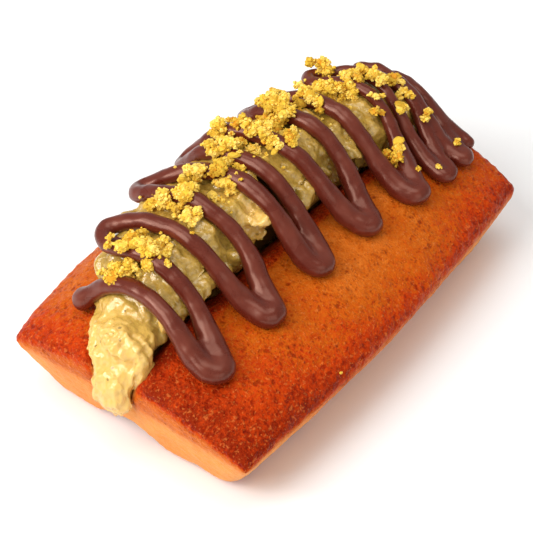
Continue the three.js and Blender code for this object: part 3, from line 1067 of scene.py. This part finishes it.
@dataclass
class Crumble:
    """Pistachio crumble: clumps of angular grains and some nut flakes. Millimetres."""

    ground: Ground
    heaps: tuple[Heap, ...] = (
        Heap(-31.5, 9, 2.2, 9, 2.5),
        Heap(-32, 12.5, 1.2, 4, 1.5),
        Heap(-30.5, 7, 2.2, 9, 2.1),
        Heap(-26.5, 5.5, 1.6, 7, 1.9),
        Heap(-26.5, 9, 1.2, 5, 1.6),
        Heap(-30, 1.5, 0.2, 1, 0.8),
        Heap(-17.5, 9.5, 2, 6, 1.8),
        Heap(-18, 6, 1.6, 5, 2.0),
        Heap(-18.5, 13, 1.6, 4, 2.4),
        Heap(-15.5, 8.5, 1.2, 4, 2.2),
        Heap(-9.5, 11.5, 2, 6, 1.8),
        Heap(-8, 7, 2, 7, 2.0),
        Heap(-10.5, 6.5, 1.4, 4, 1.4),
        Heap(-5.5, 9, 0.8, 3, 1.2),
        Heap(3, 16, 2, 8, 2.2),
        Heap(-2.5, 12.5, 2.2, 9, 2.1),
        Heap(-2, 8.5, 1.6, 6, 1.6),
        Heap(3.5, 11.5, 2, 7, 1.9),
        Heap(4.5, 7.5, 2, 7, 2.0),
        Heap(5, 4.5, 1, 4, 1.4),
        Heap(9, 16, 1.6, 5, 1.8),
        Heap(19, 16.5, 2.2, 8, 2.2),
        Heap(13, 11.5, 2.4, 10, 2.2),
        Heap(13, 8, 2, 8, 2.0),
        Heap(10.5, 5, 1.5, 5, 1.6),
        Heap(7.5, 2, 0.8, 3, 1.5),
        Heap(20.5, 9.5, 2, 8, 2.0),
        Heap(21, 6, 1, 4, 1.4),
        Heap(26, 11, 2, 8, 2.1),
        Heap(28, 7, 2.2, 9, 2.1),
        Heap(28.5, 4, 1.2, 4, 1.6),
        Heap(32, 12.5, 1.8, 7, 2.0),
        Heap(31, 6, 2, 7, 1.7),
        Heap(35, 6, 2, 8, 1.9),
        Heap(36, 3, 1.6, 6, 1.8),
        Heap(30.5, -1, 1.4, 4, 1.3),
        Heap(39.5, 0.5, 0.8, 3, 1.8),
        Heap(37.5, -3, 1.5, 5, 1.2),
        Heap(34.5, -5, 1.2, 4, 2.0),
        Heap(38.5, -7.5, 0.6, 2, 1.4),
        Heap(26.5, -8.5, 1.8, 8, 2.3),
        Heap(26.5, -14, 0.1, 1, 0.6),
        Heap(31, -15.5, 0.1, 1, 0.7),
        Heap(40, -14.5, 0.2, 1, 0.9),
        Heap(-18.5, -28, 0.1, 1, 0.4),
    )
    crumbs: int = 60
    crumb_size: Span = (0.2, 0.45)
    crumb_reach: Span = (-30, 40)
    crumb_band: Span = (8, 4)
    core_spread: Triple = (0.42, 0.42, 0.22)
    core_sizes: tuple[Span, ...] = ((0.35, 0.6), (0.35, 0.6), (0.25, 0.42))
    grain: Span = (0.2, 0.46)
    grain_shape: Triple = (1.0, 0.8, 0.65)
    grain_density: float = 24.0
    skin: Span = (0.9, 1.3)
    tones: tuple[float, ...] = (0.1, 0.2, 0.3, 0.45, 0.65)
    tone_spread: float = 0.18
    core_tone: float = 0.2
    flake_share: float = 0.1
    flake_from: float = 0.5
    flake_shape: Triple = (0.9, 0.65, 0.35)
    flake_size: Span = (0.9, 1.4)
    flake_tones: Triple = (0.2, 0.5, 0.8)
    lean: float = 0.5
    dwindling: float = 0.75
    perch: float = 0.3
    bridge: float = 1.0
    prop: float = 0.5
    kinds: int = 6
    raggedness: float = 0.3
    dice: random.Random = field(default_factory=lambda: random.Random(11))

    def build(self) -> None:
        """Models all the crumble as one piece."""
        cores = [self.pattern(True, kind) for kind in range(self.kinds)]
        grains = [self.pattern(False, kind) for kind in range(self.kinds)]
        places, rows, toast, total = [], [], [], 0
        for grit in self.scatter():
            points, faces = self.dice.choice(cores if grit.core else grains)
            turn = np.array(Euler([self.dice.uniform(0, FULL_TURN) for _ in range(3)]).to_matrix())
            nods = [self.dice.gauss(0, self.lean) for _ in range(2)]
            tilt = np.array(Euler([*nods, self.dice.uniform(0, FULL_TURN)]).to_matrix())
            rows.append(faces + total)
            places.append(((points @ turn.T) * grit.half_size) @ tilt.T + grit.middle)
            toast.append(np.full(len(points), grit.tone))
            total += len(points)
        mesh = bpy.data.meshes.new("pistachio_crumble")
        mesh.from_pydata(np.vstack(places) * MM, [], np.vstack(rows))
        mesh.update()
        crumble = bpy.data.objects.new("pistachio_crumble", mesh)
        bpy.context.scene.collection.objects.link(crumble)
        paint(crumble, "toast", np.concatenate(toast))
        settle(crumble, CrumbleFinish().material(), "chocolate")

    def pattern(self, core: bool, kind: int) -> tuple[Array, Array]:
        """Models one ragged core or one angular grain.

        Args:
            core: Whether it is a core.
            kind: Its number, which sets its shape.

        Returns:
            Its points for a radius of about 1, and its faces as rows of three point numbers.
        """
        if core:
            bpy.ops.mesh.primitive_ico_sphere_add(subdivisions=2, radius=1)
        else:
            bpy.ops.mesh.primitive_cube_add(size=1.5)
        shape = bpy.context.object
        bpy.ops.object.mode_set(mode="EDIT")
        bpy.ops.mesh.select_all(action="SELECT")
        bpy.ops.transform.vertex_random(offset=self.raggedness, seed=kind + 1)
        bpy.ops.mesh.quads_convert_to_tris()
        bpy.ops.object.mode_set(mode="OBJECT")
        points = points_of(shape)
        faces = np.array([face.vertices[:] for face in shape.data.polygons])
        bpy.data.objects.remove(shape)
        return points, faces

    def scatter(self) -> list[Grit]:
        """Scatters the clumps of all heaps over what they lie on, and some stray crumbs.

        Returns:
            All the grains.
        """
        found = []
        for heap in self.heaps:
            for number in range(heap.clumps):
                size = heap.largest * (1 - self.dwindling * number / heap.clumps)
                swing, reach = self.dice.uniform(0, FULL_TURN), heap.reach * math.sqrt(self.dice.random())
                x, y = heap.x + reach * math.cos(swing), heap.y + reach * math.sin(swing)
                found += self.clump(self.rest(x, y, size), size)
        for _ in range(self.crumbs):
            x, y = self.dice.uniform(*self.crumb_reach), self.dice.gauss(*self.crumb_band)
            size = self.dice.uniform(*self.crumb_size)
            found += self.clump(self.rest(x, y, size), size)
        return found

    def rest(self, x: float, y: float, size: float) -> Array:
        """Finds where a clump comes to rest, partly held up by what is beside it.

        Args:
            x: Its place along the bar.
            y: Its place across the bar.
            size: Its half size.

        Returns:
            Its middle.
        """
        below = self.ground.height(x * MM, y * MM) / MM
        steps = [(self.bridge, 0), (-self.bridge, 0), (0, self.bridge), (0, -self.bridge)]
        beside = max(self.ground.height((x + along) * MM, (y + aside) * MM) / MM for along, aside in steps)
        return np.array([x, y, below + self.prop * max(0.0, beside - below) + self.perch * size])

    def clump(self, middle: Array, size: float) -> list[Grit]:
        """Builds one clump from ragged cores and a skin of small grains, or as a bare nut flake.

        Args:
            middle: Its middle.
            size: Its half size.

        Returns:
            Its grains.
        """
        if size > self.flake_from and self.dice.random() < self.flake_share:
            flake = np.array(self.flake_shape) * np.clip(size, *self.flake_size)
            return [Grit(middle, flake, self.dice.choice(self.flake_tones), True)]
        tone = self.dice.choice(self.tones)
        cores = []
        for _ in range(1 + round(size)):
            shift = np.array([self.dice.gauss(0, spread) for spread in self.core_spread]) * size
            bulk = np.array([self.dice.uniform(*sizes) for sizes in self.core_sizes])
            cores.append(Grit(middle + shift, bulk * size, self.vary(tone + self.core_tone), True))
        skin = []
        for _ in range(max(3, round(self.grain_density * size**1.6))):
            core = self.dice.choice(cores)
            outward = np.array([self.dice.gauss(0, 1) for _ in range(3)])
            outward /= np.linalg.norm(outward)
            spot = core.middle + outward * core.half_size * self.dice.uniform(*self.skin)
            grain = self.dice.uniform(*self.grain) * min(1.0, 0.6 + 0.3 * size)
            skin.append(Grit(spot, np.array(self.grain_shape) * grain, self.vary(tone), False))
        return cores + skin

    def vary(self, tone: float) -> float:
        """Shifts a tone a little by chance, within 0 and 1."""
        return min(1.0, max(0.0, tone + self.dice.gauss(0, self.tone_spread)))


@dataclass(frozen=True)
class Light:
    """A soft square light: the way to it from the cake, its distance and side in metres, its watts."""

    name: str
    direction: Triple
    distance: float
    side: float
    power: float


@dataclass
class Studio:
    """White table, soft light and the camera that looks down on the near end of the cake."""

    azimuth: float = -53.1
    elevation: float = 43.4
    distance: float = 363 * MM
    target: Triple = (-2.9 * MM, 0.3 * MM, 13 * MM)
    lens: float = 129.6
    sensor: float = 36.0
    nearest: float = 10 * MM
    table_size: float = 3.0
    sky: float = 0.45
    lights: tuple[Light, ...] = (
        Light("window", (-0.66, 0.30, 0.70), 0.55, 0.4, 2.7),
        Light("ceiling", (0.05, 0.05, 1.0), 0.90, 0.6, 2.8),
        Light("lamp", (-0.67, 0.44, 0.56), 0.55, 0.07, 0.25),
        Light("reflector", (-0.35, -0.85, 0.45), 0.90, 0.6, 1.3),
    )

    def build(self) -> None:
        """Sets the table, the lights and the camera."""
        self.set_table()
        self.set_sky()
        for light in self.lights:
            self.hang(light)
        self.set_camera()
        view = bpy.context.scene.view_settings
        view.view_transform = "Standard"
        view.look = "None"

    def set_table(self) -> None:
        """Models the table top."""
        bpy.ops.mesh.primitive_grid_add(x_subdivisions=8, y_subdivisions=8, size=self.table_size)
        table = bpy.context.object
        table.name = "table_top"
        table.data.materials.append(TableFinish().material())

    def set_sky(self) -> None:
        """Lights the scene evenly from all round."""
        world = bpy.data.worlds.new("white_room")
        world.use_nodes = True
        background = world.node_tree.nodes["Background"]
        background.inputs["Color"].default_value = (1.0, 1.0, 1.0, 1.0)
        background.inputs["Strength"].default_value = self.sky
        bpy.context.scene.world = world

    def hang(self, light: Light) -> None:
        """Hangs a light that points at the cake.

        Args:
            light: Its name, place, size and power.
        """
        outward = Vector(light.direction).normalized()
        place = Vector(self.target) + outward * light.distance
        aim = outward.to_track_quat("Z", "Y").to_euler()
        bpy.ops.object.light_add(type="AREA", location=place, rotation=aim)
        made = bpy.context.object
        made.name = light.name
        made.data.size = light.side
        made.data.energy = light.power

    def set_camera(self) -> None:
        """Places the camera and makes it the scene's own."""
        turn, lift = math.radians(self.azimuth), math.radians(self.elevation)
        back = Vector((math.sin(turn) * math.cos(lift), -math.cos(turn) * math.cos(lift), math.sin(lift)))
        place = Vector(self.target) + back * self.distance
        bpy.ops.object.camera_add(location=place, rotation=back.to_track_quat("Z", "Y").to_euler())
        camera = bpy.context.object
        camera.data.lens = self.lens
        camera.data.sensor_width = self.sensor
        camera.data.clip_start = self.nearest
        bpy.context.scene.camera = camera


def main() -> None:
    """Builds the cake from the sponge up, and the table and lights around it."""
    logging.basicConfig(level=logging.INFO, format="%(message)s")
    sponge = SpongeBar().build()
    heap = CreamHeap()
    cream = heap.build()
    chocolate = ChocolateZigzag(Ground([sponge, cream])).build()
    Crumble(Ground([sponge, cream, chocolate])).build()
    # The hollows come last, so that nothing sags into them.
    heap.sink(cream)
    Studio().build()


if __name__ == "__main__":
    main()
